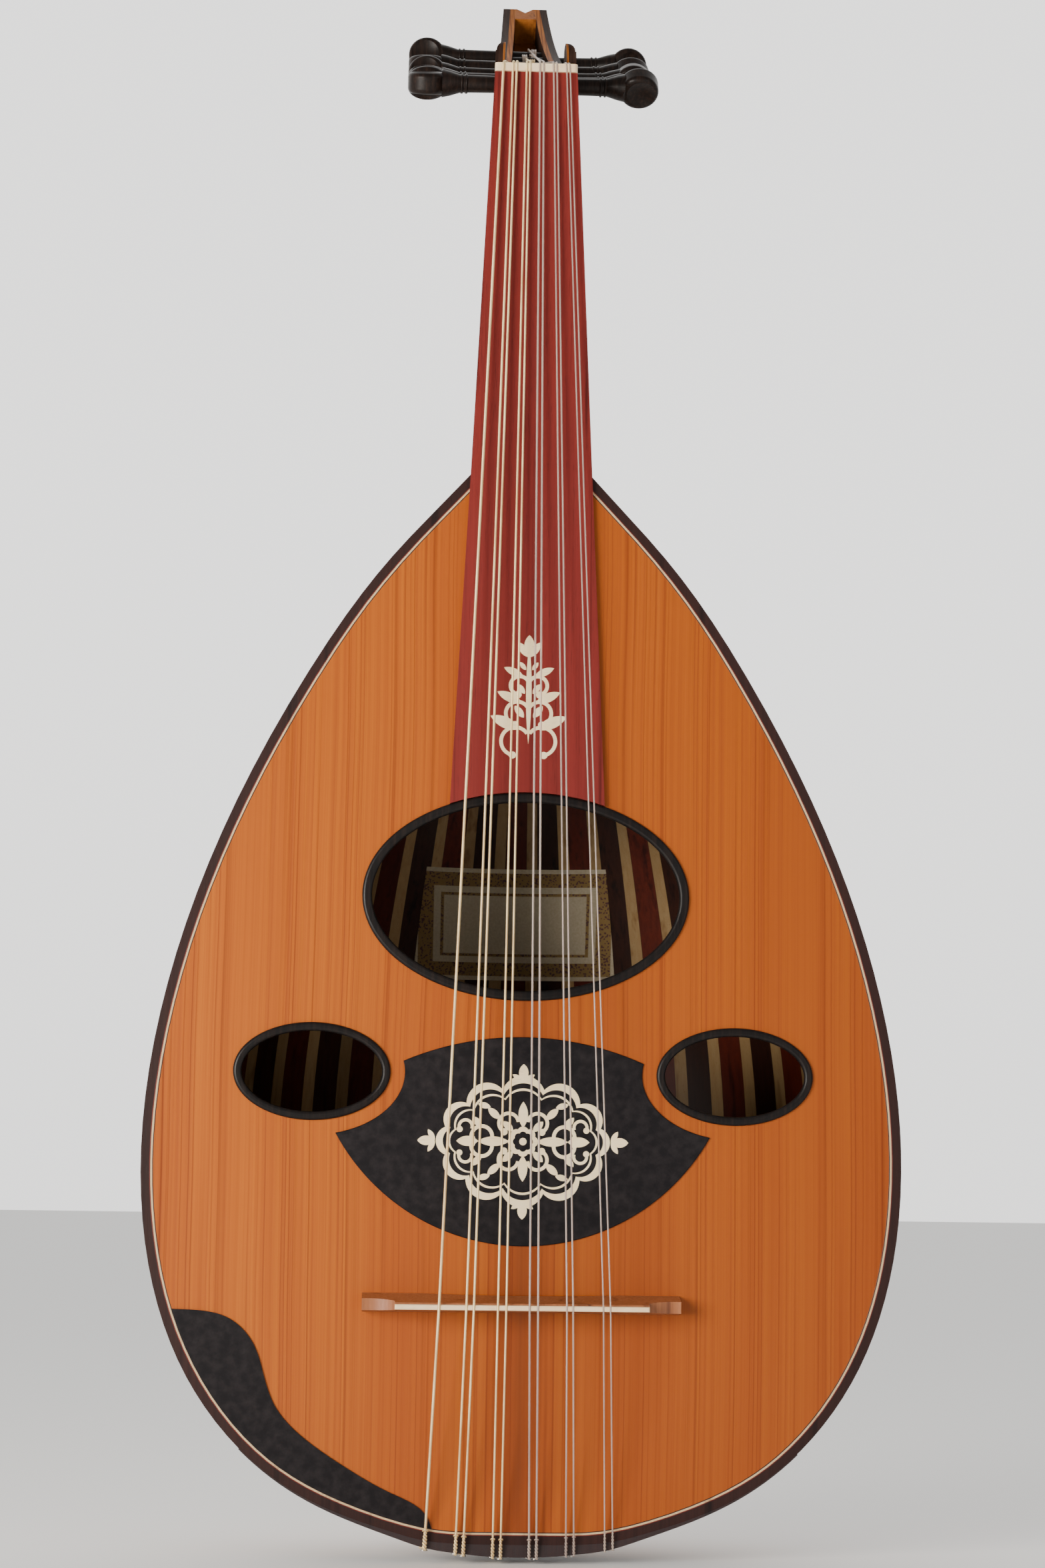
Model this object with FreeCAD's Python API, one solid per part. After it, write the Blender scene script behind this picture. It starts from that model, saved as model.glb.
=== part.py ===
import FreeCAD, Part
import math
import os
from FreeCAD import Vector

# Eleven-string short-necked lute with a half-round bowl of ribs, a floating bridge and a bent-back pegbox.
# X to the right, Y from the soundboard towards the back of the bowl, Z up along the neck, millimetres.
# Z = 0 is the neck side of the nut, where the strings' speaking length starts. Y = 0 is the soundboard's face.

SCALE = 585.0            # nut to bridge
NECK = 198.0             # nut to body
NUT_WIDTH = 39.6
JOINT_WIDTH = 57.2       # neck where it meets the body
BOARD_END_WIDTH = 72.0   # fingerboard at the soundhole
BOARD_THICK = 2.5
NECK_DROP = 5.7          # how far the neck's face falls behind the soundboard at the nut
NUT_LENGTH = 4.0
NUT_TOP = 1.8

FACE_THICK = 2.0
WALL = 2.8               # rib thickness
BINDING = 4.4
PURFLING = 0.9
TAIL_HOLE = 4.0          # radius left open where the ribs would meet in a point

# Half outline of the face: distance below the neck joint, half width
OUTLINE = [(0, 28.6), (42, 66.6), (96, 103.4), (160, 136.6), (245, 165.5), (330, 174.7), (382, 167.2),
           (417, 153.4), (452, 127), (477, 89.8), (489, 55), (493.7, 0)]
CLASP_START = (452, 127)     # where the end clasp begins, on the outline
CLASP_EDGE = 0.4
CLASP_THICK = 5.6
CLASP_DEPTH = 34.0

DARK_RIBS = 27
DARK_TO_MAPLE = 1.9      # width of a dark rib over that of a maple strip

MAIN_HOLE = (0.0, -397.0, 75.9, 48.4)       # x, z and half axes of the ring's outer edge
SMALL_HOLE = (97.5, -479.0, 36.2, 22.5)
RING = 4.6
SMALL_RING = 4.0
RING_HEIGHT = 1.8
RING_OVERHANG = 1.0

GUARD_TOP = -462.1
GUARD_BOTTOM = -557.7
GUARD_TIP = (86.2, -507.0)
GUARD_CORNER = (55.0, -473.5)
GUARD_GAP = 6.6          # between the guard and a small hole's ring
GUARD_THICK = 1.0
MEDALLION = (0.0, -510.0)
VINE = (0.0, -302.0)
INLAY = 0.4

# String spacing, left to right: at the nut, at the bridge and at the tail, then the diameter
STRINGS = [(-15.7, -37.6, -42.3, 1.3), (-11.2, -25.3, -28.3, 1.1), (-9.4, -21.9, -24.7, 1.1),
           (-4.6, -11.1, -11.4, 1.0), (-3.0, -7.3, -7.8, 1.0), (1.7, 3.2, 5.2, 0.95), (3.5, 7.0, 8.5, 0.95),
           (8.2, 20.0, 21.9, 0.8), (9.8, 22.8, 25.5, 0.8), (14.4, 36.5, 39.5, 0.7), (16.0, 39.7, 43.1, 0.7)]
# The peg that holds each string: side of its head, distance along the pegbox, angle of its paddle
PEGS = [(-1, 22, 68), (-1, 45, 100), (-1, 68, 50), (-1, 91, 15), (-1, 114, 80), (-1, 137, 5),
        (1, 125.5, 12), (1, 102.5, 60), (1, 79.5, 30), (1, 56.5, 105), (1, 33.5, 55)]
BRIDGE_LENGTH = 145.0
BRIDGE_TOP = 23.0
SADDLE_LENGTH = 115.0
SADDLE_THICK = 2.4
SADDLE_TALL = 3.0
SLIDE_GAP = 0.02
GROOVE_GAP = 0.05

BOX_LENGTH = 195.0
BOX_START = math.radians(76)     # angle between the neck's line and the pegbox where it starts
BOX_END = math.radians(48)
BOX_END_WIDTH = 23.0
BOX_DEPTH = (25.0, 21.5, 17.0)
CHEEK = 6.5
LOBE = (14.5, -3.0, 9.0, 4.6)    # distance along the pegbox, offset, radius and thickness of the cheeks' lobes
LOBE_ROUND = 6.5                 # rounding of the lobes' upper outer corners, seen from the front
PEG_OFFSET = 8.0                 # peg axes behind the pegbox's open edge
PEG_HEAD = 52.0                  # from the long axis to the middle of a peg's paddle
PADDLE = (9.5, 10.4)             # radius and thickness
PEG_TIP = 3.6                    # shaft radius at its thin end
PEG_ROOT = 4.3
PEG_GAP = 0.05
COIL_TURNS = 4
COIL_GAP = 0.4
COIL_CENTRING = 0.35             # a string's place on its peg over its place at the nut

PIN_RADIUS = 1.1
PIN_HEAD = 1.7
PIN_Y = (11.0, 17.0)             # depths of the two rows of pins
LOOP_GAP = 0.05

BLOCK = 40.0                     # length of the block where the neck enters the bowl
TAIL_BLOCK = 16.0                # thickness of the block inside the tail
BRACES = [-262, -336, -455, -507, -560, -612, -655]    # heights of the braces under the soundboard
LABEL = (92.0, 62.0, 0.3)     # width, height and thickness of the paper
BACK = 4.0                       # thickness of the pegbox's back
END = 14.0                       # length of the block that closes the pegbox's end
NOTCH = 5.0                      # half width and depth of the groove across that end
CREST = (-1.3, 1.9)              # the bridge's section, from its tail side to its neck side: top, then foot
FOOT = (-2.9, 5.6)
SCOOP = (18.0, 12.0)             # radius, and height of the ends' lowest point
ARM_EDGE = [(-172, -587), (-150, -588.0), (-133, -591.6), (-121.5, -603), (-116.5, -617), (-111.0, -631),
            (-99, -644), (-80, -657), (-58, -669), (-43, -677.5), (-39, -686)]

Z_JOINT = -NECK
Z_BRIDGE = -SCALE
AXIS = Vector(0, FACE_THICK, 0)
UP = Vector(0, 0, 1)
ALONG_X = Vector(1, 0, 0)
ALONG_Y = Vector(0, 1, 0)


def save(name, shape):
    shape.exportStep("parts/%s.step" % name)


def box(x0, x1, y0, y1, z0, z1):
    return Part.makeBox(x1 - x0, y1 - y0, z1 - z0, Vector(x0, y0, z0))


def fuse(shapes):
    return shapes[0].multiFuse(shapes[1:]) if len(shapes) > 1 else shapes[0]


def prism(face, y0, y1):
    """A flat face drawn at y = 0, made solid between two depths."""
    placed = face.copy()
    placed.translate(Vector(0, y0, 0))
    return placed.extrude(Vector(0, y1 - y0, 0))


def flat_mirror(shape):
    return shape.mirror(Vector(0, 0, 0), ALONG_X)


def spline(points, start=None, end=None):
    curve = Part.BSplineCurve()
    if start:
        curve.interpolate(Points=points, InitialTangent=start, FinalTangent=end)
    else:
        curve.interpolate(Points=points)
    return curve


def outline_curve(points):
    spots = [Vector(half, 0, Z_JOINT - down) for down, half in points]
    first = (spots[1] - spots[0]).normalize()
    return spline(spots, first, Vector(-1, 0, 0))


def offset_curve(curve, inset, last):
    """The curve moved inwards, towards the long axis."""
    spots = []
    steps = 16
    for i in range(steps + 1):
        u = curve.FirstParameter + (last - curve.FirstParameter) * i / steps
        tangent = curve.tangent(u)[0]
        spots.append(curve.value(u) + Vector(tangent.z, 0, -tangent.x) * inset)
    first = curve.tangent(curve.FirstParameter)[0]
    return spline(spots, first, curve.tangent(last)[0])


bowl_curve = outline_curve(OUTLINE)


def face_outline(inset):
    """The face's outline, moved inwards, as a flat face closed across the neck joint."""
    curve = offset_curve(bowl_curve, inset, bowl_curve.LastParameter) if inset else bowl_curve
    start = curve.StartPoint
    slope = curve.tangent(curve.FirstParameter)[0]
    top = start + slope * ((Z_JOINT - start.z) / slope.z)
    right = [curve.toShape()]
    if inset:
        right.insert(0, Part.makeLine(top, start))
    left = [flat_mirror(edge) for edge in right]
    across = Part.makeLine(Vector(-top.x, 0, Z_JOINT), top)
    return Part.Face(Part.Wire(Part.__sortEdges__(right + left + [across])))


def ellipse(x, z, half_x, half_z):
    curve = Part.Ellipse(Vector(x + half_x, 0, z), Vector(x, 0, z + half_z), Vector(x, 0, z))
    if half_z > half_x:
        curve = Part.Ellipse(Vector(x, 0, z + half_z), Vector(x + half_x, 0, z), Vector(x, 0, z))
    return Part.Face(Part.Wire(curve.toShape()))


def polygon(points):
    return Part.Face(Part.makePolygon([Vector(*p) for p in points + points[:1]]))


# ---------------------------------------------------------------- bowl

tail_end = bowl_curve.parameter(Vector(TAIL_HOLE, 0, Z_JOINT - OUTLINE[-1][0]))
inner_curve = offset_curve(bowl_curve, WALL, tail_end)


def rib_profile():
    outer = bowl_curve.toShape(bowl_curve.FirstParameter, tail_end)
    inner = inner_curve.toShape()
    neck_end = Part.makeLine(bowl_curve.StartPoint, inner_curve.StartPoint)
    tail = Part.makeLine(bowl_curve.value(tail_end), inner_curve.EndPoint)
    face = Part.Face(Part.Wire(Part.__sortEdges__([outer, tail, inner, neck_end])))
    face.translate(AXIS)
    return face


def ribs():
    """Dark ribs and narrow maple strips in turn round the half circle, each a slice of one turned wall."""
    maple = 180.0 / (DARK_RIBS * DARK_TO_MAPLE + DARK_RIBS - 1)
    dark = maple * DARK_TO_MAPLE
    profile = rib_profile()
    groups = {"bowl_ribs_rosewood": [], "bowl_ribs_padauk": [], "bowl_ribs_maple": []}
    angle = 0.0
    for i in range(2 * DARK_RIBS - 1):
        width = maple if i % 2 else dark
        rib = profile.copy()
        rib.rotate(AXIS, UP, angle)
        rib = rib.revolve(AXIS, UP, width)
        wood = "bowl_ribs_maple" if i % 2 else ("bowl_ribs_padauk" if i % 4 else "bowl_ribs_rosewood")
        groups[wood].append(rib)
        angle += width
    return groups


def bowl_inside():
    """The half-round space inside the ribs."""
    start = inner_curve.StartPoint
    end = inner_curve.EndPoint
    top = Part.makeLine(Vector(0, 0, start.z), start)
    bottom = Part.makeLine(end, Vector(0, 0, end.z))
    middle = Part.makeLine(Vector(0, 0, end.z), Vector(0, 0, start.z))
    face = Part.Face(Part.Wire([top, inner_curve.toShape(), bottom, middle]))
    face.translate(AXIS)
    return face.revolve(AXIS, UP, 180)


for name, group in ribs().items():
    save(name, Part.makeCompound(group))

inside = bowl_inside()
neck_foot = Part.makeCone(inner_curve.StartPoint.x, bowl_curve.StartPoint.x, Z_JOINT - inner_curve.StartPoint.z,
                          AXIS + UP * inner_curve.StartPoint.z, UP, 180)
neck_block = inside.common(box(-80, 80, 0, 80, Z_JOINT - BLOCK, Z_JOINT)).fuse(neck_foot)
save("neck_block", neck_block.removeSplitter())
TAIL_BLOCK_DEPTH = 45.0
z_inside_tail = inner_curve.EndPoint.z
tail_block = inside.common(box(-95, 95, 0, TAIL_BLOCK_DEPTH, z_inside_tail - 5, z_inside_tail + TAIL_BLOCK))
save("tail_block", tail_block)

BRACE_WIDTH = 6.0
BRACE_DEPTH = 13.0
braces = []
for z in BRACES:
    bar = box(-200, 200, FACE_THICK, FACE_THICK + BRACE_DEPTH, z - BRACE_WIDTH / 2, z + BRACE_WIDTH / 2)
    braces.append(bar.common(inside))
save("soundboard_braces", Part.makeCompound(braces))

LABEL_GAP = 0.05


def label():
    """A sheet that lies on the bottom of the bowl behind the main soundhole."""
    width, height, thick = LABEL
    first = inner_curve.parameter(Vector(150, 0, MAIN_HOLE[1] + height / 2))
    last = inner_curve.parameter(Vector(150, 0, MAIN_HOLE[1] - height / 2))
    strip = []
    for lift in (LABEL_GAP, LABEL_GAP + thick):
        spots = []
        for i in range(4):
            spot = inner_curve.value(first + (last - first) * i / 3)
            spots.append(Vector(spot.x - lift, 0, spot.z))
        strip.append(spline(spots))
    ends = [Part.makeLine(strip[0].StartPoint, strip[1].StartPoint),
            Part.makeLine(strip[0].EndPoint, strip[1].EndPoint)]
    face = Part.Face(Part.Wire(Part.__sortEdges__([strip[0].toShape(), strip[1].toShape()] + ends)))
    face.translate(AXIS)
    sweep = math.degrees(width / strip[0].StartPoint.x)
    face.rotate(AXIS, UP, 90 - sweep / 2)
    return face.revolve(AXIS, UP, sweep)


save("paper_label", label())

# ---------------------------------------------------------------- end clasp and hitch pins

clasp_first = bowl_curve.parameter(Vector(CLASP_START[1], 0, Z_JOINT - CLASP_START[0]))


def outer_clasp_curve():
    """The bowl's outline moved outwards, more and more towards the middle of the tail."""
    spots = []
    steps = 8
    for i in range(steps + 1):
        u = clasp_first + (bowl_curve.LastParameter - clasp_first) * i / steps
        tangent = bowl_curve.tangent(u)[0]
        lift = CLASP_EDGE + (CLASP_THICK - CLASP_EDGE) * (i / steps) ** 2
        spots.append(bowl_curve.value(u) - Vector(tangent.z, 0, -tangent.x) * lift)
    return spline(spots, bowl_curve.tangent(clasp_first)[0], Vector(-1, 0, 0))


clasp_curve = outer_clasp_curve()


def clasp_profile():
    inner = bowl_curve.toShape(clasp_first, bowl_curve.LastParameter)
    middle = Part.makeLine(bowl_curve.EndPoint, clasp_curve.EndPoint)
    start = Part.makeLine(bowl_curve.value(clasp_first), clasp_curve.StartPoint)
    return Part.Face(Part.Wire(Part.__sortEdges__([clasp_curve.toShape(), inner, middle, start])))


def height_on(curve, across, low):
    """Height of a curve round the tail, from one of its parameters on, at a distance from the long axis."""
    high = curve.LastParameter
    for _ in range(40):
        middle = (low + high) / 2
        if curve.value(middle).x > across:
            low = middle
        else:
            high = middle
    return curve.value(low).z


def end_clasp():
    profile = clasp_profile()
    rim = prism(profile.copy(), 0, FACE_THICK)
    turned = profile.copy()
    turned.translate(AXIS)
    turned = turned.revolve(AXIS, UP, 180)
    reach = 120.0
    sag = CLASP_DEPTH - 8.0
    radius = (reach ** 2 + sag ** 2) / (2 * sag)
    trim = Part.makeCylinder(radius, 200, Vector(0, CLASP_DEPTH - radius, Z_JOINT - 600))
    return fuse([rim, flat_mirror(rim), turned.common(trim)]).removeSplitter()


def pin_depth(number):
    """Neighbouring strings end on different rows, so their loops stay clear of each other."""
    return PIN_Y[number % 2]


def string_level(number):
    """Height at which a string passes under the clasp."""
    _, _, tail_x, diameter = STRINGS[number]
    return height_on(clasp_curve, abs(tail_x), clasp_curve.FirstParameter) - diameter / 2 - 0.1


def hitch_pin(number):
    """A pin that stands in the clasp and ends just before the ribs."""
    _, _, tail_x, diameter = STRINGS[number]
    foot = Vector(tail_x, pin_depth(number), string_level(number) - diameter / 2 - 0.2)
    top = height_on(bowl_curve, max(abs(tail_x) - PIN_RADIUS, 0), clasp_first) - 0.2
    shank = Part.makeCylinder(PIN_RADIUS, top - foot.z, foot)
    head = Part.makeCylinder(PIN_HEAD, 0.7, foot + Vector(0, 0, -0.7))
    return shank.fuse(head).removeSplitter()


pins = Part.makeCompound([hitch_pin(number) for number in range(len(STRINGS))])
save("hitch_pins", pins)
save("end_clasp", end_clasp().cut(pins))

# ---------------------------------------------------------------- soundboard and its edge

soundboard = prism(face_outline(BINDING + PURFLING), 0, FACE_THICK)
x_small, z_small, wide_small, tall_small = SMALL_HOLE
x_main, z_main, wide_main, tall_main = MAIN_HOLE


def ring(x, z, half_x, half_z, width):
    outer = prism(ellipse(x, z, half_x, half_z), -RING_HEIGHT, 0)
    top = [edge for edge in outer.Edges if edge.CenterOfMass.y < -RING_HEIGHT + 0.01]
    outer = outer.makeFillet(1.4, top[:1])
    hole = prism(ellipse(x, z, half_x - width, half_z - width), -RING_HEIGHT - 1, 1)
    body = outer.cut(hole)
    top = [edge for edge in body.Edges if edge.CenterOfMass.y < -RING_HEIGHT + 0.01 and edge.Length < 6.2 * half_x]
    top.sort(key=lambda edge: edge.BoundBox.XLength)
    return body.makeFillet(1.4, top[:1])


holes = [MAIN_HOLE, SMALL_HOLE, (-x_small, z_small, wide_small, tall_small)]
widths = [RING, SMALL_RING, SMALL_RING]
rings = []
for (x, z, half_x, half_z), width in zip(holes, widths):
    inset = width - RING_OVERHANG
    soundboard = soundboard.cut(prism(ellipse(x, z, half_x - inset, half_z - inset), -1, FACE_THICK + 1))
    rings.append(ring(x, z, half_x, half_z, width))
save("soundboard", soundboard)
save("main_soundhole_ring", rings[0])
save("small_soundhole_rings", Part.makeCompound(rings[1:]))

edge_face = face_outline(0)
binding_face = face_outline(BINDING)
save("rim_binding", prism(edge_face.cut(binding_face), 0, FACE_THICK))
save("purfling", prism(binding_face.cut(face_outline(BINDING + PURFLING)), 0, FACE_THICK))

# ---------------------------------------------------------------- inlay motifs, flat faces at y = 0


def leaf(length, width, x=0.0, z=0.0, turn=0.0):
    """A pointed leaf from the origin along +Z, turned and moved."""
    tip = Vector(0, 0, length)
    sides = []
    for side in (-1, 1):
        sides.append(Part.Arc(Vector(), Vector(side * width / 2, 0, length / 2), tip).toShape())
    return placed(Part.Face(Part.Wire(sides)), x, z, turn)


def curl(radius, width, sweep, x=0.0, z=0.0, turn=0.0):
    """An arc-shaped band from the origin that starts along +Z and bends to the right, with a round end."""
    centre = Vector(radius, 0, 0)

    def at(r, angle):
        return centre + Vector(-math.cos(angle), 0, math.sin(angle)) * r

    end = math.radians(sweep)
    outer = Part.Arc(at(radius + width / 2, 0), at(radius + width / 2, end / 2), at(radius + width / 2, end))
    inner = Part.Arc(at(radius - width / 2, 0), at(radius - width / 2, end / 2), at(radius - width / 2, end))
    ends = [Part.makeLine(outer.StartPoint, inner.StartPoint), Part.makeLine(outer.EndPoint, inner.EndPoint)]
    band = Part.Face(Part.Wire(Part.__sortEdges__([outer.toShape(), inner.toShape()] + ends)))
    bud = Part.Face(Part.Wire(Part.makeCircle(width, at(radius, end), ALONG_Y)))
    return placed(band.fuse(bud), x, z, turn)


def placed(face, x, z, turn):
    """A positive turn leans the motif to the right."""
    face.rotate(Vector(), ALONG_Y, turn)
    face.translate(Vector(x, 0, z))
    return face


def both(face):
    return [face, flat_mirror(face)]


def four(face):
    """The motif in all four quarters."""
    upper = both(face)
    return upper + [shape.mirror(Vector(), UP) for shape in upper]


def lobed(half_x, half_z, lobes, bulge):
    """A closed face edged by equal arcs that bulge outwards from an ellipse."""
    spots = []
    for i in range(lobes):
        angle = 2 * math.pi * (i + 0.5) / lobes
        spots.append(Vector(half_x * math.sin(angle), 0, half_z * math.cos(angle)))
    arcs = []
    for first, last in zip(spots, spots[1:] + spots[:1]):
        outward = Vector(first.z - last.z, 0, last.x - first.x) * bulge
        arcs.append(Part.Arc(first, (first + last) / 2 + outward, last).toShape())
    return Part.Face(Part.Wire(arcs))


def medallion():
    """A lobed border with pointed ends round a cross of leaves, rings and curls."""
    faces = [lobed(37.0, 24.5, 12, 0.34).cut(lobed(34.6, 22.1, 12, 0.30)),
             lobed(32.6, 20.3, 12, 0.28).cut(lobed(31.8, 19.5, 12, 0.27)),
             lobed(6.0, 6.0, 8, 0.30).cut(lobed(4.0, 4.0, 8, 0.30)),
             Part.Face(Part.Wire(Part.makeCircle(1.7, Vector(), ALONG_Y)))]
    for turn, far, length in ((0, 27.5, 12.0), (180, 27.5, 12.0), (90, 40.5, 14.5), (270, 40.5, 14.5)):
        across = math.sin(math.radians(turn))
        up = math.cos(math.radians(turn))
        faces.append(leaf(8.0, 4.4, far * across, far * up, turn))
        faces.append(leaf(length, 4.4, 6.3 * across, 6.3 * up, turn))
        for side in (-1, 1):
            faces.append(leaf(6.0, 2.4, far * across, far * up, turn + side * 58))
    faces += four(leaf(6.5, 3.2, 4.6, 4.6, 45))
    faces += four(curl(4.5, 1.6, 235, 2.2, 9.0, 8))
    faces += four(leaf(7.5, 3.4, 10.6, 10.2, 48))
    faces += four(leaf(6.0, 2.8, 15.0, 15.6, 76))
    faces += four(curl(4.8, 1.7, 200, 14.2, 1.4, -8))
    faces += four(leaf(6.5, 3.0, 19.0, 6.4, 42))
    faces += four(curl(3.0, 1.4, 225, 23.6, 5.6, -20))
    faces += both(leaf(10.0, 4.6, 20.6, 0, 90))
    for face in faces:
        face.translate(Vector(MEDALLION[0], 0, MEDALLION[1]))
    return faces


def vine():
    """A stem that climbs between two rows of curls and leaves and ends in a bud."""
    faces = [leaf(48.0, 2.6, 0, -24)]
    for i in range(3):
        z = -19.0 + 12.5 * i
        size = 1.0 - 0.17 * i
        faces += both(curl(6.6 * size, 1.7, 225, 0.6, z, 34))
        faces += both(leaf(15.0 * size, 5.2 * size, 4.0 * size, z + 2.0, 66))
        faces += both(leaf(7.0 * size, 3.2 * size, 2.2 * size, z + 7.5 * size, 38))
    faces += both(leaf(8.5, 3.4, 0.4, 17.0, 34))
    faces.append(leaf(10.5, 4.8, 0, 17.0))
    for face in faces:
        face.translate(Vector(VINE[0], 0, VINE[1]))
    return faces


# ---------------------------------------------------------------- pickguard and forearm guard


def pickguard():
    def arc_height(x):
        half = GUARD_CORNER[0]
        sag = GUARD_TOP - GUARD_CORNER[1]
        radius = (half ** 2 + sag ** 2) / (2 * sag)
        return GUARD_TOP - radius + math.sqrt(radius ** 2 - x ** 2)

    tip_x, tip_z = GUARD_TIP
    high = arc_height(tip_x)
    right = Vector(tip_x, 0, tip_z)
    left = Vector(-tip_x, 0, tip_z)
    high_right = Vector(tip_x, 0, high)
    high_left = Vector(-tip_x, 0, high)
    top = Part.Arc(high_left, Vector(0, 0, GUARD_TOP), high_right).toShape()
    bottom = Part.Arc(left, Vector(0, 0, GUARD_BOTTOM), right).toShape()
    sides = [Part.makeLine(high_right, right), Part.makeLine(left, high_left)]
    plate = prism(Part.Face(Part.Wire(Part.__sortEdges__([top, bottom] + sides))), -GUARD_THICK, 0)
    for side in (-1, 1):
        gap = ellipse(side * x_small, z_small, wide_small + GUARD_GAP, tall_small + GUARD_GAP)
        plate = plate.cut(prism(gap, -5, 5))
    rim = [edge for edge in plate.Edges if edge.BoundBox.YMax < -GUARD_THICK + 0.01]
    return plate.makeChamfer(0.35, rim)


inlay = fuse([prism(face, -GUARD_THICK, -GUARD_THICK + INLAY) for face in medallion()]).removeSplitter()
save("pickguard_inlay", inlay)
save("pickguard", pickguard().cut(inlay))

ARM_THICK = 0.8


def forearm_guard():
    """A thin plate that follows the purfling on the lower left side."""
    edge = spline([Vector(x, 0, z) for x, z in ARM_EDGE])
    corner = Vector(-172, 0, -700)
    lines = [Part.makeLine(edge.EndPoint, Vector(-39, 0, -700)), Part.makeLine(Vector(-39, 0, -700), corner),
             Part.makeLine(corner, edge.StartPoint)]
    region = Part.Face(Part.Wire(Part.__sortEdges__([edge.toShape()] + lines)))
    plate = prism(region, -ARM_THICK, 0)
    return plate.common(prism(face_outline(BINDING + PURFLING + 0.3), -5, 5))


save("forearm_guard", forearm_guard())

# ---------------------------------------------------------------- neck, fingerboard and nut


def front(z):
    """Depth of the neck's flat face at a height."""
    return NECK_DROP * (z - Z_JOINT) / NECK if z > Z_JOINT else 0.0


def section(z):
    half = NUT_WIDTH / 2 + (JOINT_WIDTH - NUT_WIDTH) / 2 * (-z / NECK)
    y = front(z)
    arc = Part.Arc(Vector(half, y, z), Vector(0, y + half, z), Vector(-half, y, z)).toShape()
    line = Part.makeLine(Vector(-half, y, z), Vector(half, y, z))
    return Part.Wire([arc, line])


def bent(distance, offset):
    """A point (y, z) beside the pegbox's open edge, offset towards its back."""
    turn = BOX_START - BOX_END
    radius = BOX_LENGTH / turn
    angle = BOX_START - distance / radius
    y = front(0) + radius * (math.cos(angle) - math.cos(BOX_START))
    z = NUT_LENGTH + radius * (math.sin(BOX_START) - math.sin(angle))
    return y + offset * math.cos(angle), z - offset * math.sin(angle)


def neck():
    body = Part.makeLoft([section(Z_JOINT), section(NUT_LENGTH)], True, True)
    (y, z), (far_y, far_z) = SCARF
    end = (-60, y + 3 * (far_y - y), z + 3 * (far_z - z))
    offcut = polygon([(-60, y, z), end, (-60, end[1] + 60, end[2] + 60), (-60, y, z + 80)])
    return body.cut(offcut.extrude(Vector(120, 0, 0)))


# The neck's end is cut on a slant from the nut to the back, and the pegbox is glued to that face
SCARF = [(front(0), NUT_LENGTH), (26.2, -16.0)]


def fingerboard():
    end = z_main - 60
    plan = polygon([(-NUT_WIDTH / 2, 0, 0), (-JOINT_WIDTH / 2, 0, Z_JOINT), (-BOARD_END_WIDTH / 2, 0, -354),
                    (-BOARD_END_WIDTH / 2, 0, end), (BOARD_END_WIDTH / 2, 0, end), (BOARD_END_WIDTH / 2, 0, -354),
                    (JOINT_WIDTH / 2, 0, Z_JOINT), (NUT_WIDTH / 2, 0, 0)])
    side = polygon([(-60, front(0), 0), (-60, 0, Z_JOINT), (-60, 0, end + 20), (-60, -BOARD_THICK, end + 20),
                    (-60, -BOARD_THICK, Z_JOINT), (-60, front(0) - BOARD_THICK, 0)])
    board = prism(plan, -20, 20).common(side.extrude(Vector(120, 0, 0)))
    x, z, half_x, half_z = MAIN_HOLE
    return board.cut(prism(ellipse(x, z, half_x + 0.1, half_z + 0.1), -20, 20))


neck_solid = neck()
save("neck", neck_solid)
vine_solid = fuse([prism(face, -BOARD_THICK, -BOARD_THICK + INLAY) for face in vine()]).removeSplitter()
save("fingerboard_inlay", vine_solid)
save("fingerboard", fingerboard().cut(vine_solid))

# ---------------------------------------------------------------- strings and pegs


def local_half(distance):
    """Half width of the pegbox at a distance along it."""
    return NUT_WIDTH / 2 - (NUT_WIDTH - BOX_END_WIDTH) / 2 * distance / BOX_LENGTH


def rounded_path(points, radii):
    """Straight runs joined by tangent arcs."""
    edges = []
    start = points[0]
    for before, corner, after, radius in zip(points, points[1:], points[2:], radii):
        inward = (before - corner).normalize()
        outward = (after - corner).normalize()
        half = inward.getAngle(outward) / 2
        reach = radius / math.tan(half)
        first = corner + inward * reach
        last = corner + outward * reach
        centre = corner + (inward + outward).normalize() * (radius / math.sin(half))
        middle = centre + (corner - centre).normalize() * radius
        edges.append(Part.makeLine(start, first))
        edges.append(Part.Arc(first, middle, last).toShape())
        start = last
    edges.append(Part.makeLine(start, points[-1]))
    return Part.Wire(edges)


def tube(points, radii, radius):
    path = rounded_path(points, radii)
    start = points[0]
    ring_wire = Part.Wire(Part.makeCircle(radius, start, points[1] - start))
    return path.makePipeShell([ring_wire], True, False)


def coil_centre(number):
    """Where the string meets its peg: x, then the peg's own y and z."""
    side, distance, _ = PEGS[number]
    y, z = bent(distance, PEG_OFFSET)
    return STRINGS[number][0] * COIL_CENTRING, y, z


def string_route(number):
    nut_x, bridge_x, tail_x, diameter = STRINGS[number]
    radius = diameter / 2
    level = string_level(number)
    x, y, z = coil_centre(number)
    over_nut = Vector(nut_x, NUT_TOP, NUT_LENGTH + radius + 0.2)
    reach = PEG_ROOT + radius + COIL_GAP
    away_y = y - over_nut.y
    away_z = z - over_nut.z
    far = math.hypot(away_y, away_z)
    angle = math.atan2(away_z, away_y) + math.asin(reach / far)
    run = math.sqrt(far ** 2 - reach ** 2)
    meet = Vector(x, over_nut.y + run * math.cos(angle), over_nut.z + run * math.sin(angle))
    end = pin_depth(number) - PIN_RADIUS - LOOP_GAP - radius
    return [Vector(tail_x, end, level), Vector(tail_x, -radius - 0.1, level),
            Vector(bridge_x, -BRIDGE_TOP, Z_BRIDGE), over_nut, meet]


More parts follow.
